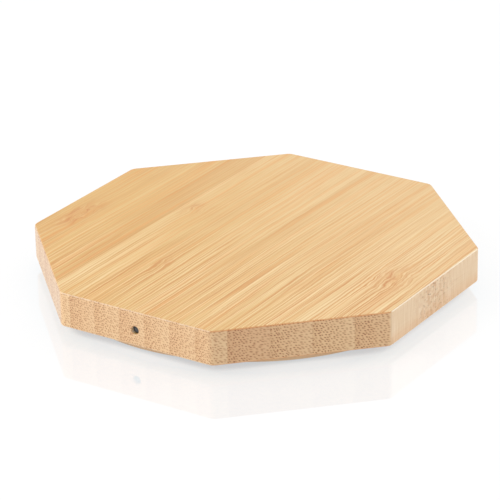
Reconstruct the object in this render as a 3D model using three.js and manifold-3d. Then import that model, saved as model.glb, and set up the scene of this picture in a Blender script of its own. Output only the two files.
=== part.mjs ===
// Octagonal bamboo wireless charging pad, in millimetres.
//
// One block of laminated bamboo is milled from below to hold a transmitter coil, a round circuit
// board, a receptacle and an indicator. A round plastic base closes it from below and carries the
// block clear of the table, and a silicone ring in the base hides its screws.
//
// Frame: +Z up, origin at the middle of the resting plane. -Y is the face with the indicator,
// +Y is the face with the receptacle.

import * as THREE from 'three';
import { mergeVertices } from 'three/addons/utils/BufferGeometryUtils.js';
import Module from 'manifold-3d';

const wasm = await Module();
wasm.setup();

// ---- Driving dimensions ----------------------------------------------------------------------

const SIDES = 8;
const ACROSS_FLATS = 100;
const WOOD_THICKNESS = 8.6;
const BASE_THICKNESS = 2.1; // the round base, all of it below the wood
const FOOT_DROP = 0.3; // the ring stands this far below the base
const CORNER_RADIUS = 2.5; // upright corners of the block
const EDGE_ROUND = 0.45; // top and bottom rims of the block
const SKIN = 1.65; // wood left over the coil
const REAR_WALL = 3.65; // wood left at the receptacle
const CLEARANCE = 0.15; // loose fit between parts that drop into each other
const STACK_GAP = 0.02; // between layers that lie on each other
const PORT_HEIGHT = 3.85; // indicator and receptacle centre line, above the underside of the wood
const OVERCUT = 1; // cutters run this far past what they cut
const OVERLAP = 0.5; // bodies that are joined share this much
const ROUND_SEGMENTS = 96; // facets on a large circle
const SMALL_SEGMENTS = 24; // facets on a small circle

const FLAT = ACROSS_FLATS / 2; // from the axis to a side face
const BASE_BOTTOM = FOOT_DROP;
const WOOD_BOTTOM = BASE_BOTTOM + BASE_THICKNESS;
const WOOD_TOP = WOOD_BOTTOM + WOOD_THICKNESS;
const CEILING = WOOD_TOP - SKIN;
const CENTRE_LINE = WOOD_BOTTOM + PORT_HEIGHT;

const POCKET_RADIUS = 34;
const REAR_CHANNEL = { width: 14.4, end: FLAT - REAR_WALL };
const FRONT_CHANNEL = { width: 8, end: -43 };

const BASE = { radius: 47.2, edge: 0.3, recess: 31.9, floor: 1.4, spigotHeight: 1 };
const RING = { inner: 36.15, outer: 41.85, thickness: 1 };
const GROOVE_DEPTH = 0.75;
const SCREW = { circle: 39, head: 1.75, neck: 0.9, shank: 0.85, bottom: 1.08, headHeight: 1, length: 6 };
// Clearances round a screw: in the base round its parts, and in the wood beside and past it.
const SCREW_HOLE = { head: 0.25, underHead: 0.2, neck: 0.1, shank: 0.25, pilot: 0.1, blindEnd: 0.3 };
const CROSS = { reach: 1, half: 0.25, depth: 0.6 }; // recess in a screw's head
const POST = { circle: 27, radius: 1.5, boardGap: 0.05 };

const LED_HOLE_RADIUS = 1;
const LIGHT_PIPE = { radius: 0.9, face: -49.35, flangeWidth: 7.4, flangeHeight: 3.6, flangeDepth: 1.2 };

const BOARD = { radius: 31, thickness: 1, rearTab: 13.6, rearEnd: 45.8, frontTab: 6, frontEnd: -40.5 };
const BOARD_BOTTOM = CENTRE_LINE - BOARD.thickness / 2;
const BOARD_TOP = CENTRE_LINE + BOARD.thickness / 2;

const COIL = { inner: 10, outer: 21.5, height: 1.15 };
const FERRITE = { radius: 25, height: 0.8, slotWidth: 1.5, slotStart: 7.5 };
const FERRITE_TAPE = { radius: 24, height: 0.13 };
const COIL_TAPE = { inner: 10.6, outer: 21, height: 0.1 };
const FOAM = { radius: 21, height: 0.3 };
const LEAD_RADIUS = 0.43;
const LEAD_ANGLE = { inner: -50, outer: -61.5 }; // degrees round the axis, at the solder joints
const LEAD_LIFT = 0.08; // air under a lead that lies on the board
const SOLDER = { circle: 28.9, radius: 1.1, height: 0.9 };
const LEAD_END = SOLDER.circle - SOLDER.radius - 0.2; // leads stop just short of the solder

const PORT = {
  width: 8.94,
  height: 3.16,
  wall: 0.3,
  back: 42.05,
  mouth: 49.4,
  opening: 0.33, // gap round the shell in the wood
  notchWidth: 9.3,
  notchStart: 41.9,
};

// ---- Solids ----------------------------------------------------------------------------------

const rad = THREE.MathUtils.degToRad;

/** Turns a closed geometry into a solid that can be cut and joined. */
function solid(geometry) {
  const bare = geometry.clone();
  bare.deleteAttribute('normal');
  bare.deleteAttribute('uv');
  const merged = mergeVertices(bare);
  return new wasm.Manifold(new wasm.Mesh({
    numProp: 3,
    vertProperties: new Float32Array(merged.attributes.position.array),
    triVerts: new Uint32Array(merged.index.array),
  }));
}

/** Turns a solid back into a geometry for a mesh. */
function geometryOf(body) {
  const mesh = body.getMesh();
  const geometry = new THREE.BufferGeometry();
  geometry.setAttribute('position', new THREE.BufferAttribute(mesh.vertProperties, 3));
  geometry.setIndex(new THREE.BufferAttribute(mesh.triVerts, 1));
  geometry.computeVertexNormals();
  return geometry;
}

/** An upright plate with the outline of a shape. */
function plate(shape, bottom, top, curveSegments = ROUND_SEGMENTS / 2) {
  const geometry = new THREE.ExtrudeGeometry(shape, {
    depth: top - bottom,
    bevelEnabled: false,
    curveSegments,
  });
  return solid(geometry.translate(0, 0, bottom));
}

/** A box from its low to its high corner. */
function box(low, high) {
  const size = high.map((value, axis) => value - low[axis]);
  const middle = high.map((value, axis) => (value + low[axis]) / 2);
  return solid(new THREE.BoxGeometry(...size).translate(...middle));
}

/** An upright cylinder centred on (x, y). */
function post(radius, bottom, top, x = 0, y = 0, segments = SMALL_SEGMENTS) {
  const geometry = new THREE.CylinderGeometry(radius, radius, top - bottom, segments);
  return solid(geometry.rotateX(Math.PI / 2).translate(x, y, (bottom + top) / 2));
}

/** A wide upright disc on the axis. */
function disc(radius, bottom, top) {
  return post(radius, bottom, top, 0, 0, ROUND_SEGMENTS);
}

/** A flat ring on the axis. */
function ring(inner, outer, bottom, top) {
  const shape = new THREE.Shape().absarc(0, 0, outer, 0, 2 * Math.PI, false);
  shape.holes.push(new THREE.Path().absarc(0, 0, inner, 0, 2 * Math.PI, true));
  return plate(shape, bottom, top);
}

/** A cylinder that lies along Y on the centre line. */
function rodAlongY(radius, from, to) {
  const geometry = new THREE.CylinderGeometry(radius, radius, to - from, SMALL_SEGMENTS);
  return solid(geometry.translate(0, (from + to) / 2, CENTRE_LINE));
}

/** A flat-sided tube section with round ends that lies along Y on the centre line. */
function stadiumAlongY(width, height, from, to) {
  const reach = (width - height) / 2;
  const shape = new THREE.Shape();
  shape.absarc(reach, 0, height / 2, -Math.PI / 2, Math.PI / 2, false);
  shape.absarc(-reach, 0, height / 2, Math.PI / 2, 1.5 * Math.PI, false);
  shape.closePath();
  const geometry = new THREE.ExtrudeGeometry(shape, {
    depth: to - from,
    bevelEnabled: false,
    curveSegments: 6,
  });
  return solid(geometry.rotateX(Math.PI / 2).translate(0, to, CENTRE_LINE));
}

/** A turned body from a profile of [radius, height] points that starts and ends on the axis. */
function turned(profile, x, y, segments = SMALL_SEGMENTS) {
  const points = profile.map(([radius, height]) => new THREE.Vector2(radius, height));
  const geometry = new THREE.LatheGeometry(points, segments);
  return solid(geometry.rotateX(Math.PI / 2).translate(x, y, 0));
}

/** A round wire along a smooth curve through the points. */
function wire(points, radius, steps) {
  const section = new THREE.Shape().absarc(0, 0, radius, 0, 2 * Math.PI, false);
  return solid(new THREE.ExtrudeGeometry(section, {
    steps,
    curveSegments: 5,
    extrudePath: new THREE.CatmullRomCurve3(points),
  }));
}

/** The point at a radius, an angle in degrees and a height. */
function polar(radius, degrees, height = 0) {
  return new THREE.Vector3(radius * Math.cos(rad(degrees)), radius * Math.sin(rad(degrees)), height);
}

/** Four places on a circle, on the diagonals. */
function diagonalPlaces(circle) {
  return [45, 135, 225, 315].map((degrees) => polar(circle, degrees));
}

// ---- Materials -------------------------------------------------------------------------------

function finish(color, roughness, metalness = 0) {
  return () => new THREE.MeshStandardMaterial({ color, roughness, metalness });
}

const bamboo = finish(0xe3c08e, 0.5);
const smokedAcrylic = finish(0x2b2724, 0.2);
const beigePlastic = finish(0xdcc9ab, 0.55);
const blackPlastic = finish(0x1f1f20, 0.55);
const silicone = finish(0x8c8478, 0.8);
const steel = finish(0x9a9b9d, 0.35, 1);
const nickel = finish(0xb9b7b0, 0.3, 1);
const gold = finish(0xd3a94a, 0.3, 1);
const solderMask = finish(0x16402a, 0.45);
const ferriteGrey = finish(0x3a3a3d, 0.6);
const tapeAmber = finish(0xb5893a, 0.4);
const copper = finish(0xb4683a, 0.35, 0.8);
const foamGrey = finish(0x4a4b4d, 0.95);
const solder = finish(0xb8babd, 0.3, 1);
const chipBlack = finish(0x17181a, 0.5);
const ceramicTan = finish(0x9c7a55, 0.5);
const ceramicWhite = finish(0xe8e8e2, 0.5);

const pad = new THREE.Group();

/** Adds one named piece to the pad. */
function piece(name, body, material) {
  const mesh = new THREE.Mesh(geometryOf(body), material());
  mesh.name = name;
  pad.add(mesh);
}

// ---- The bamboo block ------------------------------------------------------------------------

/** A regular octagon with rounded corners and two sides square to Y. */
function octagonOutline() {
  const halfCorner = Math.PI / SIDES;
  const arcCentre = (FLAT - CORNER_RADIUS) / Math.cos(halfCorner);
  const shape = new THREE.Shape();
  for (let corner = 0; corner < SIDES; corner += 1) {
    const direction = (2 * corner + 1) * halfCorner;
    const x = arcCentre * Math.cos(direction);
    const y = arcCentre * Math.sin(direction);
    shape.absarc(x, y, CORNER_RADIUS, direction - halfCorner, direction + halfCorner, false);
  }
  shape.closePath();
  return shape;
}

function bambooBlock() {
  const geometry = new THREE.ExtrudeGeometry(octagonOutline(), {
    depth: WOOD_TOP - WOOD_BOTTOM - 2 * EDGE_ROUND,
    bevelThickness: EDGE_ROUND,
    bevelSize: EDGE_ROUND,
    bevelOffset: -EDGE_ROUND,
    bevelSegments: 3,
    curveSegments: 3,
  });
  return solid(geometry.translate(0, 0, WOOD_BOTTOM + EDGE_ROUND));
}

function bambooBody() {
  const below = WOOD_BOTTOM - OVERCUT;
  const rear = REAR_CHANNEL.width / 2;
  const front = FRONT_CHANNEL.width / 2;
  const pilotRadius = SCREW.shank + SCREW_HOLE.pilot;
  const pilotTop = SCREW.bottom + SCREW.length + SCREW_HOLE.blindEnd;
  let body = bambooBlock()
    .subtract(disc(POCKET_RADIUS, below, CEILING))
    .subtract(box([-rear, 0, below], [rear, REAR_CHANNEL.end, CEILING]))
    .subtract(box([-front, FRONT_CHANNEL.end, below], [front, 0, CEILING]))
    .subtract(rodAlongY(LED_HOLE_RADIUS, -FLAT - OVERCUT, FRONT_CHANNEL.end + OVERCUT))
    .subtract(stadiumAlongY(
      PORT.width + 2 * PORT.opening,
      PORT.height + 2 * PORT.opening,
      REAR_CHANNEL.end - OVERCUT,
      FLAT + OVERCUT,
    ));
  for (const place of diagonalPlaces(SCREW.circle)) {
    body = body.subtract(post(pilotRadius, below, pilotTop, place.x, place.y));
  }
  return body;
}

// ---- The underside ---------------------------------------------------------------------------

/** The round base: a recessed plate with a locating rim, board posts and countersunk holes. */
function baseCover() {
  const { radius, edge, recess, floor, spigotHeight } = BASE;
  const spigotTop = WOOD_BOTTOM + spigotHeight;
  const clearOfHead = SCREW.head + SCREW_HOLE.head;
  const clearOfShank = SCREW.shank + SCREW_HOLE.shank;
  const neckHeight = SCREW.bottom + SCREW.headHeight + SCREW_HOLE.neck;
  const plateProfile = [
    [0, BASE_BOTTOM],
    [radius - edge, BASE_BOTTOM],
    [radius, BASE_BOTTOM + edge],
    [radius, WOOD_BOTTOM - STACK_GAP],
    [0, WOOD_BOTTOM - STACK_GAP],
  ];
  let cover = turned(plateProfile, 0, 0, ROUND_SEGMENTS)
    .add(disc(POCKET_RADIUS - CLEARANCE, WOOD_BOTTOM - OVERLAP, spigotTop))
    .subtract(disc(recess, BASE_BOTTOM + floor, spigotTop + OVERCUT))
    .subtract(ring(RING.inner - CLEARANCE, RING.outer + CLEARANCE, 0, BASE_BOTTOM + GROOVE_DEPTH));
  for (const place of diagonalPlaces(SCREW.circle)) {
    const countersink = [
      [0, 0],
      [clearOfHead, 0],
      [clearOfHead, SCREW.bottom + SCREW_HOLE.underHead],
      [clearOfShank, neckHeight],
      [clearOfShank, WOOD_BOTTOM + OVERCUT],
      [0, WOOD_BOTTOM + OVERCUT],
    ];
    cover = cover.subtract(turned(countersink, place.x, place.y));
  }
  for (const place of diagonalPlaces(POST.circle)) {
    const foot = BASE_BOTTOM + floor - OVERLAP;
    cover = cover.add(post(POST.radius, foot, BOARD_BOTTOM - POST.boardGap, place.x, place.y));
  }
  return cover;
}

function antislipRing() {
  const rounding = 0.25;
  const { inner, outer, thickness } = RING;
  const profile = [
    [inner + rounding, 0],
    [outer - rounding, 0],
    [outer, rounding],
    [outer, thickness],
    [inner, thickness],
    [inner, rounding],
    [inner + rounding, 0],
  ].map(([radius, height]) => new THREE.Vector2(radius, height));
  return solid(new THREE.LatheGeometry(profile, ROUND_SEGMENTS).rotateX(Math.PI / 2));
}

/** A countersunk screw with its head down and a cross recess. */
function coverScrew(place) {
  const tip = 0.6;
  const cylinderOfHead = 0.15;
  const top = SCREW.bottom + SCREW.length;
  const profile = [
    [0, SCREW.bottom],
    [SCREW.head, SCREW.bottom],
    [SCREW.head, SCREW.bottom + cylinderOfHead],
    [SCREW.neck, SCREW.bottom + SCREW.headHeight],
    [SCREW.shank, SCREW.bottom + SCREW.headHeight + cylinderOfHead],
    [SCREW.shank, top - tip],
    [0, top],
  ];
  const { reach, half, depth } = CROSS;
  const under = SCREW.bottom - OVERCUT;
  const roof = SCREW.bottom + depth;
  return turned(profile, place.x, place.y)
    .subtract(box([place.x - reach, place.y - half, under], [place.x + reach, place.y + half, roof]))
    .subtract(box([place.x - half, place.y - reach, under], [place.x + half, place.y + reach, roof]));
}

piece('bamboo_body', bambooBody(), bamboo);
piece('base_cover', baseCover(), beigePlastic);
piece('antislip_ring', antislipRing(), silicone);
diagonalPlaces(SCREW.circle).forEach((place, index) => {
  piece(`cover_screw_${index + 1}`, coverScrew(place), steel);
});

// ---- The indicator ---------------------------------------------------------------------------

function lightPipe() {
  const back = FRONT_CHANNEL.end + STACK_GAP; // the flange bears on the end of the channel
  const { radius, face, flangeWidth, flangeHeight, flangeDepth } = LIGHT_PIPE;
  const flange = box(
    [-flangeWidth / 2, back, CENTRE_LINE - flangeHeight / 2],
    [flangeWidth / 2, back + flangeDepth, CENTRE_LINE + flangeHeight / 2],
  );
  return flange.add(rodAlongY(radius, face, back + flangeDepth / 2));
}

piece('light_pipe', lightPipe(), smokedAcrylic);

// ---- The circuit board and the coil stack ----------------------------------------------------

function circuitBoard() {
  const rear = BOARD.rearTab / 2;
  const front = BOARD.frontTab / 2;
  const notch = PORT.notchWidth / 2;
  return disc(BOARD.radius, BOARD_BOTTOM, BOARD_TOP)
    .add(box([-rear, 0, BOARD_BOTTOM], [rear, BOARD.rearEnd, BOARD_TOP]))
    .add(box([-front, BOARD.frontEnd, BOARD_BOTTOM], [front, 0, BOARD_TOP]))
    .subtract(box([-notch, PORT.notchStart, 0], [notch, FLAT, WOOD_TOP]));
}

/** A radial slot that lets the inner end of the coil pass under it. */
function leadSlot(bottom, top) {
  const { slotStart, slotWidth } = FERRITE;
  const length = FERRITE.radius + OVERCUT - slotStart;
  const geometry = new THREE.BoxGeometry(length, slotWidth, top - bottom);
  geometry.translate(slotStart + length / 2, 0, (bottom + top) / 2);
  return solid(geometry.rotateZ(rad(LEAD_ANGLE.inner)));
}

const tapeBottom = BOARD_TOP + STACK_GAP;
const ferriteBottom = tapeBottom + FERRITE_TAPE.height + STACK_GAP;
const coilTapeBottom = ferriteBottom + FERRITE.height + STACK_GAP;
const coilBottom = coilTapeBottom + COIL_TAPE.height + STACK_GAP;
const coilTop = coilBottom + COIL.height;
const foamBottom = coilTop + STACK_GAP;
const innerLeadSlot = leadSlot(BOARD_TOP, coilTapeBottom);

piece('circuit_board', circuitBoard(), solderMask);
piece(
  'ferrite_tape',
  disc(FERRITE_TAPE.radius, tapeBottom, tapeBottom + FERRITE_TAPE.height).subtract(innerLeadSlot),
  tapeAmber,
);
piece(
  'ferrite_shield',
  disc(FERRITE.radius, ferriteBottom, ferriteBottom + FERRITE.height).subtract(innerLeadSlot),
  ferriteGrey,
);
piece(
  'coil_tape',
  ring(COIL_TAPE.inner, COIL_TAPE.outer, coilTapeBottom, coilTapeBottom + COIL_TAPE.height),
  tapeAmber,
);
piece('charging_coil', ring(COIL.inner, COIL.outer, coilBottom, coilTop), copper);
piece('foam_pad', disc(FOAM.radius, foamBottom, foamBottom + FOAM.height), foamGrey);

/** The lead from the outermost turn, over the rim of the shield and down to the board. */
function outerLead() {
  const level = coilBottom + COIL.height / 2;
  const laid = BOARD_TOP + LEAD_RADIUS + LEAD_LIFT;
  return wire([
    polar(COIL.outer + 0.73, -80, level),
    polar(COIL.outer + 1.1, -76, level),
    polar(COIL.outer + 2.3, -71, level),
    polar(FERRITE.radius + 0.4, -67, level - 0.08),
    polar(FERRITE.radius + 1.4, -64.5, level - 0.58),
    polar(FERRITE.radius + 2, -62.5, laid + 0.13),
    polar(LEAD_END, LEAD_ANGLE.outer, laid),
  ], LEAD_RADIUS, 28);
}

/** The lead from the innermost turn, down through the slot and out to the board. */
function innerLead() {
  const laid = BOARD_TOP + LEAD_RADIUS + LEAD_LIFT;
  const standing = COIL.inner - LEAD_RADIUS - 0.32;
  return wire([
    polar(standing, LEAD_ANGLE.inner, coilTop - 0.16),
    polar(standing, LEAD_ANGLE.inner, coilBottom + 0.2),
    polar(standing + 0.3, LEAD_ANGLE.inner, laid + 0.28),
    polar(standing + 1.1, LEAD_ANGLE.inner, laid),
    polar(standing + 6, LEAD_ANGLE.inner, laid),
    polar((standing + LEAD_END) / 2, LEAD_ANGLE.inner, laid),
    polar(LEAD_END - 4, LEAD_ANGLE.inner, laid),
    polar(LEAD_END, LEAD_ANGLE.inner, laid),
  ], LEAD_RADIUS, 36);
}

/** A dome of solder on the top of the board. */
function solderDome(degrees) {
  const place = polar(SOLDER.circle, degrees);
  const rings = 5;
  const bottom = BOARD_TOP + STACK_GAP;
  const profile = [[0, bottom]];
  for (let step = 0; step < rings; step += 1) {
    const rise = (step / rings) * (Math.PI / 2);
    profile.push([SOLDER.radius * Math.cos(rise), bottom + SOLDER.height * Math.sin(rise)]);
  }
  profile.push([0, bottom + SOLDER.height]);
  return turned(profile, place.x, place.y, 16);
}

piece('coil_lead_outer', outerLead(), copper);
piece('coil_lead_inner', innerLead(), copper);
piece('coil_solder_1', solderDome(LEAD_ANGLE.outer), solder);
piece('coil_solder_2', solderDome(LEAD_ANGLE.inner), solder);

// ---- The receptacle --------------------------------------------------------------------------

const TONGUE = { width: 6.69, thickness: 0.7, tip: 48.8 };
const BLOCK = { start: 42.25, end: 43.65, gap: 0.1 };
const CONTACT = { width: 0.3, thickness: 0.12, tip: 47.9, tail: 40.8, bend: 41.7, ramp: 0.3 };
const CHANNEL = { side: 0.1, roof: 0.25 }; // room round a contact in the moulded block
const UPPER_CONTACTS = [-0.75, 1.25, 2.75]; // configuration, supply and ground, from the middle

/** The drawn steel shell, with a wing on each side that is soldered to the board. */
function usbShell() {
  const wing = { reach: 5.9, start: 43, end: 44.6, thickness: 0.3 };
  const bottom = BOARD_TOP + STACK_GAP;
  const inside = PORT.width / 2 - PORT.wall;
  const bore = stadiumAlongY(
    PORT.width - 2 * PORT.wall,
    PORT.height - 2 * PORT.wall,
    PORT.back - OVERCUT,
    PORT.mouth + OVERCUT,
  );
  let shell = stadiumAlongY(PORT.width, PORT.height, PORT.back, PORT.mouth);
  for (const side of [-1, 1]) {
    const ends = [side * (inside - OVERLAP), side * wing.reach].sort((a, b) => a - b);
    shell = shell.add(box([ends[0], wing.start, bottom], [ends[1], wing.end, bottom + wing.thickness]));
  }
  return shell.subtract(bore);
}

/** The moulded block and tongue, with a channel through the block for each contact. */
function usbInsulator() {
  const { width, thickness, tip } = TONGUE;
  const clear = PORT.wall + BLOCK.gap;
  let body = stadiumAlongY(PORT.width - 2 * clear, PORT.height - 2 * clear, BLOCK.start, BLOCK.end)
    .add(box(
      [-width / 2, BLOCK.start, CENTRE_LINE - thickness / 2],
      [width / 2, tip, CENTRE_LINE + thickness / 2],
    ));
  const channel = CONTACT.width / 2 + CHANNEL.side;
  const roof = thickness / 2 + CONTACT.thickness + CHANNEL.roof;
  for (const x of UPPER_CONTACTS) {
    body = body
      .subtract(box(
        [x - channel, BLOCK.start - OVERCUT, CENTRE_LINE + thickness / 2],
        [x + channel, BLOCK.end + OVERCUT, CENTRE_LINE + roof],
      ))
      .subtract(box(
        [-x - channel, BLOCK.start - OVERCUT, CENTRE_LINE - roof],
        [-x + channel, BLOCK.end + OVERCUT, CENTRE_LINE - thickness / 2],
      ));
  }
  return body;
}

/** A flat contact on the tongue whose tail steps onto the board; side is 1 above and -1 below. */
function usbContact(x, side) {
  const onTongue = TONGUE.thickness / 2 + STACK_GAP;
  const onBoard = BOARD.thickness / 2 + STACK_GAP;
  const { width, thickness, tip, tail, bend, ramp } = CONTACT;
  const profile = new THREE.Shape([
    [tail, onBoard],
    [bend, onBoard],
    [bend + ramp, onTongue],
    [tip, onTongue],
    [tip, onTongue + thickness],
    [bend + ramp, onTongue + thickness],
    [bend, onBoard + thickness],
    [tail, onBoard + thickness],
  ].map(([along, up]) => new THREE.Vector2(along, up)));
  const geometry = new THREE.ExtrudeGeometry(profile, { depth: width, bevelEnabled: false });
  geometry.translate(0, 0, -width / 2);
  geometry.rotateX(Math.PI / 2).rotateZ(Math.PI / 2); // the profile stands in the Y-Z plane
  if (side < 0) {
    geometry.rotateY(Math.PI);
  }
  return solid(geometry.translate(x, 0, CENTRE_LINE));
}

piece('usb_shell', usbShell(), nickel);
piece('usb_insulator', usbInsulator(), blackPlastic);
UPPER_CONTACTS.forEach((x, index) => {
  piece(`usb_contact_${index + 1}`, usbContact(x, 1), gold);
  piece(`usb_contact_${index + 4}`, usbContact(-x, -1), gold);
});

// ---- The parts on the board ------------------------------------------------------------------

/** A surface-mount part: its size and the middle of its footprint, under or on top of the board. */
function mounted(name, [width, depth, height], [x, y], material, onTop = false) {
  const low = onTop ? BOARD_TOP + STACK_GAP : BOARD_BOTTOM - STACK_GAP - height;
  const body = box([x - width / 2, y - depth / 2, low], [x + width / 2, y + depth / 2, low + height]);
  piece(name, body, material);
}

/** A row of like parts, numbered from 1. */
function mountedRow(name, size, start, step, count, material) {
  for (let index = 0; index < count; index += 1) {
    const place = [start[0] + index * step[0], start[1] + index * step[1]];
    mounted(`${name}_${index + 1}`, size, place, material);
  }
}

mounted('controller_chip', [5, 5, 0.85], [0, 8], chipBlack);
mountedRow('bridge_mosfet', [3.3, 3.3, 0.8], [-9, -4], [18, 0], 2, chipBlack);
mountedRow('resonant_capacitor', [3.2, 1.6, 1.2], [-7.5, -14], [5, 0], 4, ceramicTan);
mountedRow('input_capacitor', [2, 1.25, 1.25], [-4, 34], [4, 0], 3, ceramicTan);
mounted('sense_resistor', [3.2, 1.6, 0.6], [-12, 12], chipBlack);
mountedRow('signal_resistor', [1.6, 0.8, 0.45], [10, 3], [0, 2], 6, chipBlack);
mountedRow('decoupling_capacitor', [1.6, 0.8, 0.8], [-5.2, 5], [0, 2], 4, ceramicTan);
mounted('status_led', [1.6, 1, 0.8], [0, -39.8], ceramicWhite, true);
mounted('led_resistor', [0.8, 1.6, 0.45], [1.6, -36], chipBlack, true);
mounted('thermistor', [1.6, 0.8, 0.8], [-27, 8], ceramicTan, true);

export default pad;
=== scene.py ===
"""Octagonal bamboo wireless charging pad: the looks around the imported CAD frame, in metres.

The bamboo is a solid texture: strips 6.9 mm wide stand side by side along X, their fibres run along Y,
and the same strips show as end grain on the sides that cut across the fibres.
"""

import math

import bmesh
import bpy
from mathutils import Matrix, Vector


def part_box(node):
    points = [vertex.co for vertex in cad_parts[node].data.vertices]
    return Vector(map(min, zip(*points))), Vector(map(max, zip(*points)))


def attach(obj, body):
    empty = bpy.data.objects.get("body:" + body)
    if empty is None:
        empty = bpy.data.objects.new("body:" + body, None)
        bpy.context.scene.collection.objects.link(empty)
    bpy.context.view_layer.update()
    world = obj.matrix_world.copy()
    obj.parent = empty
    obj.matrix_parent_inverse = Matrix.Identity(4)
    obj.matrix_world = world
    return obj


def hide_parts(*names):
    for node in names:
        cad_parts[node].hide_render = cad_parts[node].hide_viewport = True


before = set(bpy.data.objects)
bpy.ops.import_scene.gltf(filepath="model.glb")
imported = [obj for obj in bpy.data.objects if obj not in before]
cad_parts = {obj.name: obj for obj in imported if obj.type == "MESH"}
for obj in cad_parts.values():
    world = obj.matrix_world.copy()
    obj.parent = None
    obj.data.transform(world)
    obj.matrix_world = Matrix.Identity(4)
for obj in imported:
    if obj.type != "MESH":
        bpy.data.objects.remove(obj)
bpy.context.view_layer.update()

MM = 0.001
TAU = 2 * math.pi


# ---- Camera, light and floor ------------------------------------------------------------------

CAMERA = {
    "target": Vector((-2.74148, 2.57503, 5.64)) * MM,
    "azimuth": 33.109,
    "elevation": 23.679,
    "roll": -1.104,
    "distance": 650.687 * MM,
    "lens": 193.84,
}
# Strength of the world's light in front of the object and behind it, as seen from the camera.
WORLD_FRONT, WORLD_BACK = 0.26, 0.90


def direction(azimuth, elevation):
    """The way from the object to something seen at that azimuth and elevation, in degrees."""
    turn, rise = math.radians(azimuth), math.radians(elevation)
    return Vector((math.sin(turn) * math.cos(rise), -math.cos(turn) * math.cos(rise), math.sin(rise)))


def add_object(name, data):
    made = bpy.data.objects.new(name, data)
    bpy.context.scene.collection.objects.link(made)
    return made


def make_camera():
    back = direction(CAMERA["azimuth"], CAMERA["elevation"])
    right = (-back).cross(Vector((0, 0, 1))).normalized()
    up = right.cross(-back)
    roll = math.radians(CAMERA["roll"])
    turned_right = math.cos(roll) * right + math.sin(roll) * up
    turned_up = math.cos(roll) * up - math.sin(roll) * right
    data = bpy.data.cameras.new("camera")
    data.sensor_width = 36
    data.lens = CAMERA["lens"]
    data.clip_start, data.clip_end = 0.01, 20
    camera = add_object("camera", data)
    rotation = Matrix((turned_right, turned_up, back)).transposed().to_4x4()
    camera.matrix_world = Matrix.Translation(CAMERA["target"] + back * CAMERA["distance"]) @ rotation
    bpy.context.scene.camera = camera


def softbox(name, azimuth, elevation, distance, size, power, colour=(1, 1, 1)):
    data = bpy.data.lights.new(name, "AREA")
    data.shape = "RECTANGLE"
    data.size, data.size_y = size
    data.energy = power
    data.color = colour
    light = add_object(name, data)
    back = direction(azimuth, elevation)
    light.location = back * distance
    light.rotation_mode = "QUATERNION"
    light.rotation_quaternion = back.to_track_quat("Z", "Y")


def make_world():
    """A pale studio, bright behind the object and dimmer in front of it, as seen from the camera.

    Glossy rays meet one even strength, so that the floor mirrors the same white from every side.
    """
    world = bpy.data.worlds.new("studio")
    world.use_nodes = True
    tree = world.node_tree
    toward = tree.nodes.new("ShaderNodeTexCoord")
    dot = tree.nodes.new("ShaderNodeVectorMath")
    dot.operation = "DOT_PRODUCT"
    dot.inputs[1].default_value = direction(CAMERA["azimuth"] + 180, 25)
    level = tree.nodes.new("ShaderNodeMapRange")
    level.interpolation_type = "SMOOTHSTEP"
    limits = {"From Min": -1.0, "From Max": 0.9, "To Min": WORLD_FRONT, "To Max": WORLD_BACK}
    for key, number in limits.items():
        level.inputs[key].default_value = number
    glossy = tree.nodes.new("ShaderNodeLightPath").outputs["Is Glossy Ray"]
    strength = tree.nodes.new("ShaderNodeMix")
    strength.inputs["B"].default_value = WORLD_BACK
    background = tree.nodes["Background"]
    background.inputs["Color"].default_value = (1, 1, 1, 1)
    tree.links.new(toward.outputs["Generated"], dot.inputs[0])
    tree.links.new(dot.outputs["Value"], level.inputs["Value"])
    tree.links.new(glossy, strength.inputs["Factor"])
    tree.links.new(level.outputs["Result"], strength.inputs["A"])
    tree.links.new(strength.outputs["Result"], background.inputs["Strength"])
    bpy.context.scene.world = world


# ---- Node graphs ------------------------------------------------------------------------------


def linear(colour):
    """A linear colour from sRGB numbers of 0 to 255."""
    channels = [value / 255 for value in colour]
    return tuple(c / 12.92 if c <= 0.04045 else ((c + 0.055) / 1.055) ** 2.4 for c in channels) + (1,)


class Value:
    """An output of a node that takes part in sums and products like a number."""

    def __init__(self, graph, socket):
        self.graph = graph
        self.socket = socket

    def __add__(self, other):
        return self.graph.math("ADD", self, other)

    def __sub__(self, other):
        return self.graph.math("SUBTRACT", self, other)

    def __rsub__(self, other):
        return self.graph.math("SUBTRACT", other, self)

    def __mul__(self, other):
        return self.graph.math("MULTIPLY", self, other)

    def __truediv__(self, other):
        return self.graph.math("DIVIDE", self, other)

    def __abs__(self):
        return self.graph.math("ABSOLUTE", self)

    __radd__ = __add__


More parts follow.
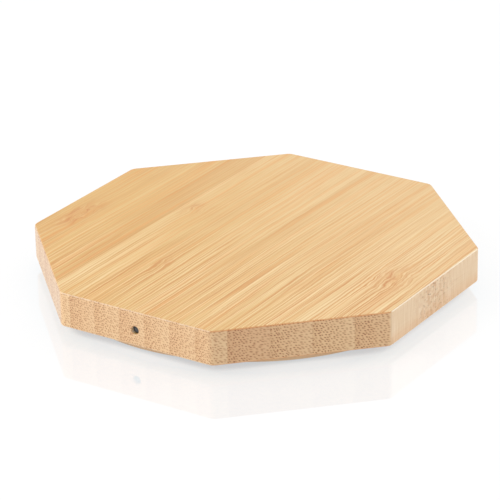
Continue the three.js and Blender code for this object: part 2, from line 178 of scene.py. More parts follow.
class Graph:
    """A material's node tree, with a short method for each kind of node it uses.

    Its place is the point being shaded, in millimetres in the frame.
    """

    def __init__(self, name):
        self.material = bpy.data.materials.new(name)
        self.material.use_nodes = True
        self.tree = self.material.node_tree
        self.tree.nodes.clear()
        self.place = self.stretch(self.value("ShaderNodeTexCoord", "Object"), (1000, 1000, 1000))

    def node(self, kind, inputs=None, **settings):
        made = self.tree.nodes.new(kind)
        for key, value in settings.items():
            setattr(made, key, value)
        for key, value in (inputs or {}).items():
            if isinstance(value, Value):
                self.tree.links.new(value.socket, made.inputs[key])
            else:
                made.inputs[key].default_value = value
        return made

    def value(self, kind, output, inputs=None, **settings):
        return Value(self, self.node(kind, inputs, **settings).outputs[output])

    def math(self, operation, a, b=0.0, clamp=False):
        return self.value("ShaderNodeMath", 0, {0: a, 1: b}, operation=operation, use_clamp=clamp)

    def step(self, value, low, high, to_low=0.0, to_high=1.0):
        """A smooth step from to_low to to_high as value goes from low to high."""
        limits = {"Value": value, "From Min": low, "From Max": high, "To Min": to_low, "To Max": to_high}
        return self.value("ShaderNodeMapRange", "Result", limits, interpolation_type="SMOOTHSTEP")

    def vector(self, x, y, z):
        return self.value("ShaderNodeCombineXYZ", 0, {0: x, 1: y, 2: z})

    def split(self, vector):
        """The x, y and z of a vector."""
        return [Value(self, output) for output in self.node("ShaderNodeSeparateXYZ", {0: vector}).outputs]

    def stretch(self, vector, factors):
        return self.value("ShaderNodeVectorMath", 0, {0: vector, 1: factors}, operation="MULTIPLY")

    def noise(self, vector, scale=1.0, detail=2.0, roughness=0.5):
        settings = {"Vector": vector, "Scale": scale, "Detail": detail, "Roughness": roughness}
        return self.value("ShaderNodeTexNoise", "Fac", settings)

    def patches(self, factors, detail=2.0):
        """Noise with that many periods in a millimetre along x, y and z."""
        return self.noise(self.stretch(self.place, factors), detail=detail)

    def cells(self, vector, scale=1.0, randomness=1.0, **settings):
        """The distance from the middle of the nearest cell, and that cell's own number of 0 to 1."""
        inputs = {"Vector": vector, "Scale": scale, "Randomness": randomness}
        made = self.node("ShaderNodeTexVoronoi", inputs, feature="F1", **settings)
        own = self.value("ShaderNodeSeparateColor", 0, {0: Value(self, made.outputs["Color"])})
        return Value(self, made.outputs["Distance"]), own

    def ramp(self, value, stops, interpolation="LINEAR"):
        """A colour ramp; a stop is a place and an sRGB colour or a grey of 0 to 1."""
        made = self.node("ShaderNodeValToRGB", {0: value})
        band = made.color_ramp
        band.interpolation = interpolation
        while len(band.elements) < len(stops):
            band.elements.new(0.5)
        for element, (place, colour) in zip(band.elements, stops):
            element.position = place
            element.color = linear(colour) if isinstance(colour, tuple) else (colour, colour, colour, 1)
        return Value(self, made.outputs["Color"])

    def mix(self, factor, a, b):
        """Colour a going over to b; colours of three numbers are sRGB and those of four are linear."""
        a, b = (linear(colour) if isinstance(colour, tuple) and len(colour) == 3 else colour
                for colour in (a, b))
        return self.value("ShaderNodeMix", 2, {0: factor, 6: a, 7: b}, data_type="RGBA")

    def layers(self, ground, coats):
        """The ground under coats, each an amount and a colour, the last one on top."""
        for amount, colour in coats:
            ground = self.mix(amount, ground, colour)
        return ground

    def bump(self, height, distance, strength=1.0):
        """A normal from a height of 0 to 1 over a distance in millimetres."""
        settings = {"Height": height, "Strength": strength, "Distance": distance * MM}
        return self.value("ShaderNodeBump", "Normal", settings)

    def surface(self, **inputs):
        """The material with a principled surface; an underscore in a name stands for a space."""
        spaced = {key.replace("_", " "): value for key, value in inputs.items()}
        return self.finish(self.value("ShaderNodeBsdfPrincipled", 0, spaced))

    def finish(self, shader):
        self.node("ShaderNodeOutputMaterial", {"Surface": shader})
        return self.material


# ---- Bamboo -----------------------------------------------------------------------------------

STRIP = 6.9  # width of a bamboo strip, in millimetres
FIRST_JOINT = 2.6  # where the joint right of the middle lies
FIRST_STRIP = -8  # number of the leftmost strip; the one right of FIRST_JOINT is 0
# Tone of each strip from dark 0 to light 1, at its left and its right edge.
LEFT_TONES = (0.32, 0.24, 0.48, 0.20, 0.90, 0.55, 0.45, 0.65, 0.10, 0.40, 0.60, 0.35, 0.60, 0.70, 0.80)
RIGHT_TONES = (0.22, 0.28, 0.36, 0.10, 0.55, 0.35, 0.65, 0.70, 0.65, 0.70, 0.40, 0.70, 0.75, 0.70, 0.80)
# How far each strip's end grain is darker and pinker than the rest.
END_TONES = (0.0, 0.1, 0.2, 0.1, 0.0, 0.2, 0.1, 0.2, 0.1, 0.15, 0.1, 0.55, 0.15, 0.0, 0.2)
# Culm nodes on the charging face: centre x and y, half width, half length, strength.
CULM_NODES = (
    (-22.0, 7.0, 3.0, 4.0, 0.6),
    (-9.0, -26.0, 2.6, 4.5, 0.5),
    (41.0, -5.0, 4.0, 7.0, 0.9),
    (-44.0, -10.0, 2.8, 7.0, 1.2),
)
FLANK_NODE = (-1.0, 7.0)  # middle and half length along Y of the node that shows on the right side
STRIP_SHIFT = 37.7  # millimetres that each strip's fibres are moved by, so that no two strips are alike
DOT_ROW = 0.58  # height of a row of dots in the end grain, in millimetres


class Bamboo(Graph):
    """The solid texture of the block; what shows depends on which way the surface faces."""

    def __init__(self):
        super().__init__("bamboo")
        self.x, self.y, self.z = self.split(self.place)
        self.normal_x, self.normal_y, self.normal_z = self.split(self.value("ShaderNodeTexCoord", "Normal"))

        # the strips, and the fibres' own coordinate, which is pushed about by growth and culm nodes
        across = (self.x - FIRST_JOINT) * (1 / STRIP)
        self.strip = self.math("FLOOR", across)
        self.inside = across - self.strip
        self.knot, kink = self.culm_nodes()
        swirl = self.patches((0.42, 0.19, 0.3))
        drift = self.patches((0.05, 0.012, 0.1), 1.0)
        turbulence = (swirl - 0.5) * (self.knot * 4.2 + 0.4)
        pushed = turbulence + (drift - 0.5) * 2.5 + kink * 1.1
        self.fibre = self.x + pushed + self.z * 1.31 + self.strip * STRIP_SHIFT

        # soft bands and hairs, which are clearer toward the front right
        self.broad = self.grain(0.5, 0.014, 0.0, 2.0)
        self.medium = self.grain(1.6, 0.016, 3.0, 2.0)
        self.fine = self.grain(5.5, 0.08, 7.0)
        ripple = self.math("SINE", self.fibre * 6.7 + self.broad * 14.0)
        self.hair = self.grain(4.2, 0.02, 11.0) * 0.75 + 0.125 + ripple * 0.075
        nearness = self.x * 0.55 - self.y
        self.region = self.step(nearness, -55, 40, 0.42, 1.0)
        self.crisp = self.step(nearness, -30, 44, 0.18, 1.0)

        # orange-brown fibre lines, crowded at the left edge of each strip
        bold = self.spindles(1.3, 75.0, 0.17, 0.0)
        thin = self.spindles(0.50, 50.0, 0.14, 5.5)
        soft = self.step(self.medium, 0.50, 0.72)
        self.lines = bold * 0.80 + (thin * 0.50 + soft * 0.20)
        wealth = self.value("ShaderNodeTexWhiteNoise", "Value", {"W": self.strip}, noise_dimensions="1D")
        crowd = self.step(self.inside, 0.0, 0.5, 1.25, 0.5) * (wealth * 0.7 + 0.65)
        self.browning = self.math("MULTIPLY", self.lines * (crowd * self.region), 1.0, clamp=True)

    def bell(self, squares):
        """1 where the squared distance is 0, falling off around it."""
        return self.math("POWER", math.e, squares * -1.0)

    def culm_nodes(self):
        """How much each point of the face belongs to a culm node, and its push on the fibres."""
        mask, push = 0.0, 0.0
        for centre_x, centre_y, half_width, half_length, strength in CULM_NODES:
            across = (self.x - centre_x) * (1 / half_width)
            along = (self.y - centre_y) * (1 / half_length)
            here = self.bell(across * across + along * along) * strength
            mask = mask + here
            push = push + here * along
        return mask * self.step(self.normal_z, 0.2, 0.8), push

    def strip_tone(self, tones):
        """The tone of the strip that a point lies in."""
        count = len(tones)
        place = (self.strip - (FIRST_STRIP - 0.5)) * (1 / count)
        return self.ramp(place, [(index / count, tone) for index, tone in enumerate(tones)], "CONSTANT")

    def grain(self, across, along, seed, detail=1.0):
        """Noise drawn out along the fibres, with that many periods in a millimetre each way."""
        return self.noise(self.vector(self.fibre * across, self.y * along, seed), detail=detail)

    def spindles(self, spacing, length, half_width, seed):
        """Long thin fibre lines with tapered ends, each of its own strength."""
        place = self.vector(self.fibre * (1 / spacing) + seed, self.y * (1 / length), seed)
        distance, own = self.cells(place, voronoi_dimensions="2D")
        reach = half_width / spacing
        return self.step(distance, reach, reach * 0.2) * self.step(own, 0.1, 0.9, 0.25, 1.0)

    def charging_face(self):
        """Strips of different tones under soft bands, fibre lines, hairs and culm nodes, with a painted
        sheen, a pale veil, growing toward the back right.
        """
        tone = self.mix(self.step(self.inside, 0.05, 0.95), self.strip_tone(LEFT_TONES),
                        self.strip_tone(RIGHT_TONES))
        level = tone * 0.40 + self.broad * 0.40 + self.patches((0.05, 0.03, 0.05)) * 0.30
        tones = [(0.28, (210, 163, 100)), (0.55, (222, 185, 122)), (0.85, (234, 205, 152))]
        # painted sheen: a pale veil that grows toward the back right, where a soft light would glint on the
        # face
        painted_sheen = self.step(self.x + self.y * 0.8, -50, 60)
        band = self.step(self.grain(0.9, 0.012, 21.0), 0.46, 0.66)
        scar = self.step(self.grain(1.5, 0.16, 2.0, 2.0), 0.50, 0.60)
        return self.layers(self.ramp(level, tones), [
            (painted_sheen * 0.46, (235, 206, 164)),
            (band * self.step(self.x, -45, 25, 0.42, 0.24), (228, 158, 86)),
            (self.step(self.medium, 0.52, 0.66) * 0.15, (222, 150, 82)),
            (self.browning, (215, 139, 66)),
            (self.step(self.fine, 0.45, 0.70) * 0.26, (208, 150, 90)),
            (self.step(self.hair, 0.53, 0.62) * self.crisp * 0.72, (202, 132, 70)),
            (self.step(self.hair, 0.46, 0.38) * self.crisp * 0.42, (252, 228, 180)),
            (self.step(self.medium, 0.47, 0.33) * self.region * 0.20, (244, 216, 166)),
            (self.knot * 0.28, (212, 152, 94)),
            (self.knot * scar * 0.55, (198, 116, 58)),
        ])

    def end_grain(self):
        """Dots of vascular bundles, close together at the left edge of each strip, with painted light, a
        pale grey veil, on the end grain of faces turned to the left; and the dots alone.
        """
        packed = self.inside * 15.0 - self.inside * self.inside * 2.8
        row = self.z * (1 / DOT_ROW)
        wander = self.patches((0.5, 0.02, 0.5), 1.0) * 1.5 + row * 0.5
        column = packed + self.strip * 53.0 + wander
        distance, own = self.cells(self.vector(column, row, 0.0), randomness=0.62, voronoi_dimensions="2D")
        dots = self.step(distance, 0.37, 0.14) * self.step(own, 0.0, 0.8, 0.45, 1.0)
        ground = self.ramp(self.inside * 0.6 + self.patches((0.35, 0.05, 0.35), 3.0) * 0.6,
                           [(0.15, (223, 183, 138)), (0.45, (235, 197, 151)), (1.0, (241, 207, 162))])
        colour = self.layers(ground, [
            # painted light: a pale grey veil on the end grain of faces turned to the left, the side the key
            # lamp lights
            (self.step(self.normal_x, -0.4, -0.65) * 0.5, (212, 200, 184)),
            (self.step(distance, 0.62, 0.2) * 0.22, (208, 148, 104)),
            (self.strip_tone(END_TONES) * 0.55, (206, 148, 108)),
            (dots * self.step(self.inside, 0.0, 1.0, 1.0, 0.55) * 0.92, (148, 80, 48)),
        ])
        return colour, dots

    def flank(self):
        """Right and left side: pale, with faint fibres, saw marks across them and one culm node."""
        middle, reach = FLANK_NODE
        away = (self.y - middle) * (1 / reach)
        culm = self.bell(away * away)
        saw = self.noise(self.vector(self.x * 0.1, self.y * 2.6, self.z * 0.12))
        mottle = self.step(self.patches((0.9, 0.7, 0.9), 3.0), 0.40, 0.64)
        freckles = self.step(self.patches((1.6, 1.2, 1.6), 3.0), 0.56, 0.72)
        return self.layers((223, 194, 157), [
            (self.browning * 0.55, (197, 139, 92)),
            (self.step(saw, 0.45, 0.62, 0.0, 0.45), (242, 219, 192)),
            (culm * mottle * 0.55, (200, 150, 108)),
            (culm * freckles * 0.8, (122, 84, 62)),
            (self.step(self.z, 6.5, 2.6) * 0.35, (218, 160, 108)),
        ])

    def rims(self):
        """Painted highlight on the rounded rims, full on the sides and broken up at the front and rear; and
        painted shade, orange-brown, on the rims of the diagonal sides turned to the right.
        """
        rim = self.step(abs(abs(self.normal_z) - 0.6), 0.35, 0.1)
        sideways = abs(self.normal_x)
        lengthways = abs(self.normal_y)
        lean = (sideways - lengthways) / (sideways + lengthways)
        to_side = self.step(lean, 0.4, 0.7)
        to_front = self.step(lean, -0.4, -0.7)
        between = 1.0 - self.math("MAXIMUM", to_side, to_front)
        # painted shade mask: the rims of the diagonal sides turned to the right, where no lamp glints
        diagonal_rim_shade = rim * between * self.step(self.normal_x, -0.3, 0.3)
        broken = self.step(self.patches((0.9, 0.9, 0.1)), 0.35, 0.6, 0.15, 1.0)
        # painted highlight mask: the rims of the sides, and broken up, those of the front and rear
        return rim * (to_side + to_front * broken * 0.45), diagonal_rim_shade

    def whole(self):
        cut_across = self.step(abs(self.normal_y), 0.25, 0.6)
        ends, dots = self.end_grain()
        rim, diagonal_rim_shade = self.rims()
        colour = self.layers(self.charging_face(), [
            (self.step(abs(self.normal_x), 0.75, 0.95), self.flank()),
            (cut_across, ends),
            # painted highlight: a cream line along the rims where the lamps glint
            (rim * 0.75, (252, 238, 214)),
            # painted shade: orange-brown on the diagonal rims where no lamp glints
            (diagonal_rim_shade * 0.65, (214, 138, 82)),
        ])
        ridges = self.mix(0.5, 1.0 - self.hair, 1.0 - self.lines)
        height = self.mix(cut_across, ridges, 1.0 - dots)
        return self.surface(Base_Color=colour, Roughness=self.fine * 0.14 + 0.40 - rim * 0.10,
                            Specular_IOR_Level=0.3, Normal=self.bump(height, 0.01, 0.5))


# ---- Shapes -----------------------------------------------------------------------------------
# A form is a list of points and a list of faces, in millimetres.


def rounded(corners, radius, steps):
    """A convex outline with its corners rounded; corners run anticlockwise."""
    points = []
    count = len(corners)
    for index, corner in enumerate(corners):
        here = Vector(corner)
        before = (Vector(corners[index - 1]) - here).normalized()
        after = (Vector(corners[(index + 1) % count]) - here).normalized()
        half = before.angle(after) / 2
        middle = here + (before + after).normalized() * (radius / math.sin(half))
        start = math.atan2(*reversed(here + before * (radius / math.tan(half)) - middle))
        sweep = math.pi - 2 * half
        for step in range(steps + 1):
            angle = start + sweep * step / steps
            points.append((middle.x + radius * math.cos(angle), middle.y + radius * math.sin(angle)))
    return points


def octagon(flat, radius, steps):
    """A regular octagon with its flats at that distance from the middle."""
    far = flat / math.cos(math.pi / 8)
    angles = [(2 * index + 1) * math.pi / 8 for index in range(8)]
    return rounded([(far * math.cos(a), far * math.sin(a)) for a in angles], radius, steps)


def rectangle(width, depth, radius, steps, middle=(0, 0)):
    x, y = width / 2, depth / 2
    outline = rounded([(x, -y), (x, y), (-x, y), (-x, -y)], radius, steps)
    return [(px + middle[0], py + middle[1]) for px, py in outline]


def circle(radius, steps, middle=(0, 0)):
    angles = [TAU * index / steps for index in range(steps)]
    return [(middle[0] + radius * math.cos(a), middle[1] + radius * math.sin(a)) for a in angles]


def at_height(outline, height):
    """A flat outline as points at that height."""
    return [(x, y, height) for x, y in outline]


def loft(loops, closed=False):
    """Faces between loops of equally many points: with flat ends, or closed from the last to the first."""
    count = len(loops[0])
    points = [tuple(point) for loop in loops for point in loop]
    faces = []
    spans = len(loops) if closed else len(loops) - 1
    for row in range(spans):
        low, high = row * count, (row + 1) % len(loops) * count
        for i in range(count):
            j = (i + 1) % count
            faces.append((low + i, low + j, high + j, high + i))
    if not closed:
        faces.append(tuple(reversed(range(count))))
        faces.append(tuple(range(len(points) - count, len(points))))
    return points, faces


def slab(outline, low, high, edge_low=0.0, edge_high=0.0, steps=6):
    """A plate with rounded rims; outline(inset) gives its outline that far in from the edge."""
    rings = []
    angles = [math.pi / 2 * step / steps for step in range(steps + 1)]
    for edge, height, sign in ((edge_low, low, 1), (edge_high, high, -1)):
        rings.append([(0.0, height)] if edge == 0 else [
            (edge * (1 - math.sin(a)), height + sign * edge * (1 - math.cos(a))) for a in angles])
    rings[1].reverse()
    return loft([at_height(outline(inset), height) for inset, height in rings[0] + rings[1]])


def lathe(profile, steps, middle=(0, 0), closed=False):
    """A body turned round an upright axis: with flat ends, or a ring when its profile is closed."""
    return loft([at_height(circle(radius, steps, middle), height) for radius, height in profile], closed)


def along_y(form):
    """Turns a form whose axis is Z so that it lies along Y, at the height of the indicator and port."""
    points, faces = form
    return [(x, z, CENTRE_LINE - y) for x, y, z in points], faces


def block(low, high, edge, steps=4):
    """A box with its edges rounded."""
    width, depth = high[0] - low[0], high[1] - low[1]
    middle = ((low[0] + high[0]) / 2, (low[1] + high[1]) / 2)

    def outline(inset):
        return rectangle(width - 2 * inset, depth - 2 * inset, 1.3 * edge - inset, steps, middle)

    return slab(outline, low[2], high[2], edge, edge, steps)


def smooth_path(points, steps):
    """A Catmull-Rom curve through the points, with that many steps between two of them."""
    known = [2 * points[0] - points[1], *points, 2 * points[-1] - points[-2]]
    path = []
    for a, b, c, d in zip(known, known[1:], known[2:], known[3:]):
        for step in range(steps):
            t = step / steps
            path.append(0.5 * (2 * b + (c - a) * t + (2 * a - 5 * b + 4 * c - d) * t ** 2
                               + (3 * b - a - 3 * c + d) * t ** 3))
    return path + [points[-1]]


def rope(path, radius, strands=6, relief=0.1, lay=7.0):
    """A bundle of strands twisted along a path; lay is the length of one full twist."""
    sides = strands * 3
    loops = []
    travelled = 0.0
    across = None
    for index, point in enumerate(path):
        ahead = path[min(index + 1, len(path) - 1)]
        behind = path[max(index - 1, 0)]
        along = (ahead - behind).normalized()
        across = along.orthogonal() if across is None else across - along * across.dot(along)
        across.normalize()
        other = along.cross(across)
        travelled += (point - behind).length if index else 0.0
        twist = TAU * travelled / lay
        loop = []
        for side in range(sides):
            angle = TAU * side / sides
            here = radius * (1 - relief * (1 - abs(math.sin((angle - twist) * strands / 2))))
            loop.append(tuple(point + here * (math.cos(angle) * across + math.sin(angle) * other)))
        loops.append(loop)
    return loft(loops)


def mesh_of(name, *parts):
    """A mesh in metres from forms; a part is a form, or a form and the number of its material."""
    work = bmesh.new()
    for part in parts:
        (points, faces), number = part if isinstance(part[1], int) else (part, 0)
        corners = [work.verts.new([c * MM for c in point]) for point in points]
        for face in faces:
            work.faces.new([corners[i] for i in face]).material_index = number
    bmesh.ops.remove_doubles(work, verts=work.verts, dist=1e-7)
    bmesh.ops.recalc_face_normals(work, faces=work.faces)
    mesh = bpy.data.meshes.new(name)
    work.to_mesh(mesh)
    work.free()
    return mesh


def merge(*meshes):
    """The meshes as one, with their material numbers kept."""
    work = bmesh.new()
    for mesh in meshes:
        work.from_mesh(mesh)
    merged = bpy.data.meshes.new("merged")
    work.to_mesh(merged)
    work.free()
    return merged


def carve(mesh, cutters=(), additions=()):
    """The mesh with every addition joined to it and then every cutter taken out of it."""
    target = add_object("carved", mesh)
    helpers = []
    for operation, forms in (("UNION", additions), ("DIFFERENCE", cutters)):
        for form in forms:
            helper = add_object("helper", mesh_of("helper", form))
            modifier = target.modifiers.new("boolean", "BOOLEAN")
            modifier.operation = operation
            modifier.solver = "EXACT"
            modifier.object = helper
            helpers.append(helper)
    bpy.context.view_layer.update()
    evaluated = target.evaluated_get(bpy.context.evaluated_depsgraph_get())
    result = bpy.data.meshes.new_from_object(evaluated)
    for helper in (*helpers, target):
        bpy.data.objects.remove(helper)
    return result


def smooth(mesh, degrees=35):
    """Smooth shading with an edge wherever faces meet at more than that angle."""
    work = bmesh.new()
    work.from_mesh(mesh)
    limit = math.radians(degrees)
    for face in work.faces:
        face.smooth = True
    for edge in work.edges:
        edge.smooth = len(edge.link_faces) == 2 and edge.calc_face_angle() < limit
    work.to_mesh(mesh)
    work.free()


def piece(name, mesh, materials, slot, *nodes):
    """A finished piece that rides with the pad and stands for CAD nodes."""
    smooth(mesh)
    mesh.name = name
    mesh.materials.clear()
    for material in materials:
        mesh.materials.append(material)
    made = add_object(name, mesh)
    weighted = made.modifiers.new("normals", "WEIGHTED_NORMAL")
    weighted.keep_sharp = True
    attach(made, "root")
    if nodes:
        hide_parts(*nodes)
    return made


def numbered(name, count):
    """The names of CAD nodes that differ by their number only."""
    return [f"{name}_{index}" for index in range(1, count + 1)]


def low_high(node):
    """The lowest and highest corner of a CAD node in millimetres."""
    low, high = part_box(node)
    return low / MM, high / MM


# ---- The bamboo block -------------------------------------------------------------------------

WOOD_LOW, WOOD_HIGH = low_high("bamboo_body")
FLAT = WOOD_HIGH.x
PIPE_LOW, PIPE_HIGH = low_high("light_pipe")
CENTRE_LINE = (PIPE_LOW.z + PIPE_HIGH.z) / 2  # height of the axes of the indicator and the port
POCKET_RADIUS = 34
REAR_POCKET = (14.4, 46.35)  # width, and reach from the middle, of the room for the port
FRONT_POCKET = (8, 43)  # the same for the indicator
PORT_SIZE = (9.6, 3.82, 1.9)  # width, height and corner radius of the opening for the plug


def bamboo_block():
    """The octagon with its pocket for the electronics, indicator hole, port opening and pilot holes."""
    corner, rim, skin = 2.5, 0.45, 1.65
    ceiling = WOOD_HIGH.z - skin
    below = WOOD_LOW.z - 1

    def outline(inset):
        return octagon(FLAT - inset, corner - inset, 10)

    solid = mesh_of("block", slab(outline, WOOD_LOW.z, WOOD_HIGH.z, rim, rim, 8))
    pockets = [slab(lambda inset: circle(POCKET_RADIUS, 192), below, ceiling)]
    for (width, reach), side in ((REAR_POCKET, 1), (FRONT_POCKET, -1)):
        room = rectangle(width, reach, 1, 6, (0, side * reach / 2))
        pockets.append(slab(lambda inset, room=room: room, below, ceiling))
    mouth = [(1.25, -1), (1.25, -0.01), (1.12, 0.05), (1.03, 0.13), (1.0, 0.25), (1.0, FLAT - 42)]
    hole = along_y(lathe([(radius, -FLAT + depth) for radius, depth in mouth], 48))

    def slot_outline(extra):
        width, height, radius = PORT_SIZE
        return rectangle(width + 2 * extra, height + 2 * extra, radius + extra, 12)

    flare = ((45.35, 0), (FLAT - 0.35, 0), (FLAT - 0.1, 0.1), (FLAT + 0.01, 0.35), (FLAT + 1, 0.35))
    port = along_y(loft([at_height(slot_outline(extra), depth) for depth, extra in flare]))
    pilots = []
    for node in numbered("cover_screw", 4):
        low, high = low_high(node)
        middle = (low + high) / 2
        pilots.append(lathe([(0.95, below), (0.95, 7.0), (0.01, 7.5)], 24, (middle.x, middle.y)))
    mesh = carve(solid, [*pockets, hole, port, *pilots])
    piece("bamboo_block", mesh, [Bamboo().whole()], "bamboo", "bamboo_body")


# ---- Studio -----------------------------------------------------------------------------------


def floor_material():
    """Bright and slightly glossy, so that the object mirrors faintly in it, and clear from below; its glow
    is dimmed near the object into a painted contact shadow.
    """
    graph = Graph("floor")
    occlusion = "ShaderNodeAmbientOcclusion"
    # painted shadow: the floor's glow is dimmed to a bluish grey where ambient occlusion finds the object
    # close, a contact shadow under and beside it
    near = graph.value(occlusion, "AO", {"Distance": 9 * MM}, samples=24)
    around = graph.value(occlusion, "AO", {"Distance": 16 * MM}, samples=8)
    open_glow = graph.mix(graph.step(around, 0.40, 1.0), (0.63, 0.692, 0.724, 1), (0.689, 0.724, 0.739, 1))
    glow = graph.mix(graph.step(near, 0.07, 0.27), (0.43, 0.49, 0.535, 1), open_glow)
    base = graph.value("ShaderNodeEmission", 0, {"Color": glow, "Strength": 1.0})
    matt = graph.value("ShaderNodeBsdfDiffuse", 0, {"Color": (0.12, 0.12, 0.12, 1)})
    mirror = graph.value("ShaderNodeBsdfGlossy", 0, {"Color": (0.22, 0.18, 0.163, 1), "Roughness": 0.03})
    both = graph.value("ShaderNodeAddShader", 0, {0: base, 1: matt})
    whole = graph.value("ShaderNodeAddShader", 0, {0: both, 1: mirror})
    clear = graph.value("ShaderNodeBsdfTransparent", 0)
    behind = graph.value("ShaderNodeNewGeometry", "Backfacing")
    return graph.finish(graph.value("ShaderNodeMixShader", 0, {0: behind, 1: whole, 2: clear}))


def make_floor():
    reach = 4000
    corners = [(-reach, -reach, 0), (reach, -reach, 0), (reach, reach, 0), (-reach, reach, 0)]
    mesh = mesh_of("floor", (corners, [(0, 1, 2, 3)]))
    mesh.materials.append(floor_material())
    add_object("floor", mesh)


# ---- Other materials --------------------------------------------------------------------------


def toned(colour, share):
    return tuple(min(255, channel * share) for channel in colour)


def moulded(name, colour, roughness=0.5, grain=0.5, texture=14.0, sheen=0.0):
    """Plastic or silicone from a textured mould: a fine skin and faint flow marks."""
    graph = Graph(name)
    skin = graph.noise(graph.place, texture, 3.0, 0.6)
    flow = graph.noise(graph.place, 0.12, 3.0)
    tint = graph.layers(colour, [
        (graph.step(flow, 0.3, 0.7, 0.0, 0.12), toned(colour, 0.8)),
        (graph.step(skin, 0.35, 0.7, 0.0, 0.10), toned(colour, 1.15)),
    ])
    return graph.surface(Base_Color=tint, Roughness=skin * 0.12 + (roughness - 0.06),
                         Normal=graph.bump(skin, 0.03, grain), Sheen_Weight=sheen)


def metal(name, colour, roughness=0.3, stretch=(1.0, 1.0, 1.0), stain=0.25):
    """Bare metal with fine drawing marks along the stretched direction and a light stain."""
    graph = Graph(name)
    marks = graph.noise(graph.stretch(graph.place, stretch), 9.0, 3.0, 0.6)
    patch = graph.noise(graph.place, 0.7, 3.0)
    tint = graph.mix(graph.step(patch, 0.4, 0.75, 0.0, stain), colour, toned(colour, 0.7))
    return graph.surface(Base_Color=tint, Roughness=marks * 0.22 + (roughness - 0.08), Metallic=1.0,
                         Normal=graph.bump(marks, 0.01, 0.3))


def smoked_acrylic():
    graph = Graph("smoked acrylic")
    haze = graph.noise(graph.place, 2.5, 3.0)
    tint = graph.ramp(haze, [(0.3, (62, 62, 66)), (0.7, (86, 86, 90))])
    return graph.surface(Base_Color=tint, Roughness=haze * 0.15 + 0.22, IOR=1.49,
                         Transmission_Weight=0.35, Normal=graph.bump(haze, 0.01, 0.3))


def board_laminate():
    """Green solder mask over copper tracks on top and underneath, bare laminate on the cut edges."""
    graph = Graph("solder mask")
    x, y = graph.split(graph.place)[:2]
    up = abs(graph.split(graph.value("ShaderNodeTexCoord", "Normal"))[2])
    distance = graph.cells(graph.vector(x, y, 0.0), 0.42, 0.65, voronoi_dimensions="2D",
                           distance="CHEBYCHEV")[0]
    track = graph.step(abs(graph.math("FRACT", distance * 4.0) - 0.5), 0.17, 0.13)
    weave = graph.noise(graph.place, 3.0)
    mask = graph.layers(graph.mix(track, (20, 62, 40), (38, 96, 56)), [(weave * 0.25, (12, 44, 30))])
    plies = graph.step(graph.patches((0.4, 0.4, 9.0)), 0.35, 0.65)
    edge = graph.mix(plies, (186, 176, 122), (150, 148, 92))
    colour = graph.mix(graph.step(up, 0.4, 0.8), edge, mask)
    return graph.surface(Base_Color=colour, Roughness=weave * 0.2 + 0.3,
                         Normal=graph.bump(track, 0.035, 0.6), Coat_Weight=0.4)


def ferrite():
    graph = Graph("ferrite")
    speck = graph.noise(graph.place, 7.0, 3.0, 0.7)
    cast = graph.noise(graph.place, 0.25)
    colour = graph.ramp(speck, [(0.35, (44, 44, 47)), (0.6, (62, 62, 66)), (0.75, (90, 90, 94))])
    colour = graph.mix(cast * 0.3, colour, (50, 46, 44))
    return graph.surface(Base_Color=colour, Roughness=speck * 0.25 + 0.45,
                         Normal=graph.bump(speck, 0.04, 0.6))


def amber_tape():
    graph = Graph("amber tape")
    wrinkle = graph.patches((0.25, 0.6, 1.0), 3.0)
    colour = graph.ramp(wrinkle, [(0.3, (176, 120, 38)), (0.7, (206, 152, 62))])
    return graph.surface(Base_Color=colour, Roughness=wrinkle * 0.2 + 0.22,
                         Normal=graph.bump(wrinkle, 0.08, 0.5), Coat_Weight=0.6, Coat_Roughness=0.12)


def litz_copper():
    """Fine enamelled strands laid into a rope."""
    graph = Graph("litz copper")
    strand = graph.noise(graph.place, 5.0, 2.0, 0.6)
    tone = graph.noise(graph.place, 0.5)
    colour = graph.ramp(strand * 0.6 + tone * 0.4,
                        [(0.3, (150, 76, 38)), (0.55, (190, 106, 58)), (0.75, (222, 146, 92))])
    return graph.surface(Base_Color=colour, Roughness=strand * 0.2 + 0.24, Metallic=0.85,
                         Normal=graph.bump(strand, 0.03, 0.5), Coat_Weight=0.5)


def foam():
    graph = Graph("foam")
    distance = graph.cells(graph.place, 2.6)[0]
    colour = graph.ramp(distance, [(0.1, (48, 49, 51)), (0.6, (88, 89, 92))])
    return graph.surface(Base_Color=colour, Roughness=distance * 0.1 + 0.85,
                         Normal=graph.bump(distance, 0.08, 0.9), Sheen_Weight=0.2)


def ceramic(name, colour, fleck):
    graph = Graph(name)
    speck = graph.noise(graph.place, 11.0, 3.0, 0.7)
    tint = graph.mix(graph.step(speck, 0.42, 0.68), colour, fleck)
    return graph.surface(Base_Color=tint, Roughness=speck * 0.2 + 0.38,
                         Normal=graph.bump(speck, 0.01, 0.5))


def phosphor():
    """The resin over the light-emitting chip."""
    graph = Graph("phosphor resin")
    cloud = graph.noise(graph.place, 4.0)
    tint = graph.ramp(cloud, [(0.3, (226, 206, 92)), (0.7, (240, 226, 138))])
    return graph.surface(Base_Color=tint, Roughness=cloud * 0.1 + 0.2,
                         Subsurface_Weight=0.3, Coat_Weight=0.5)


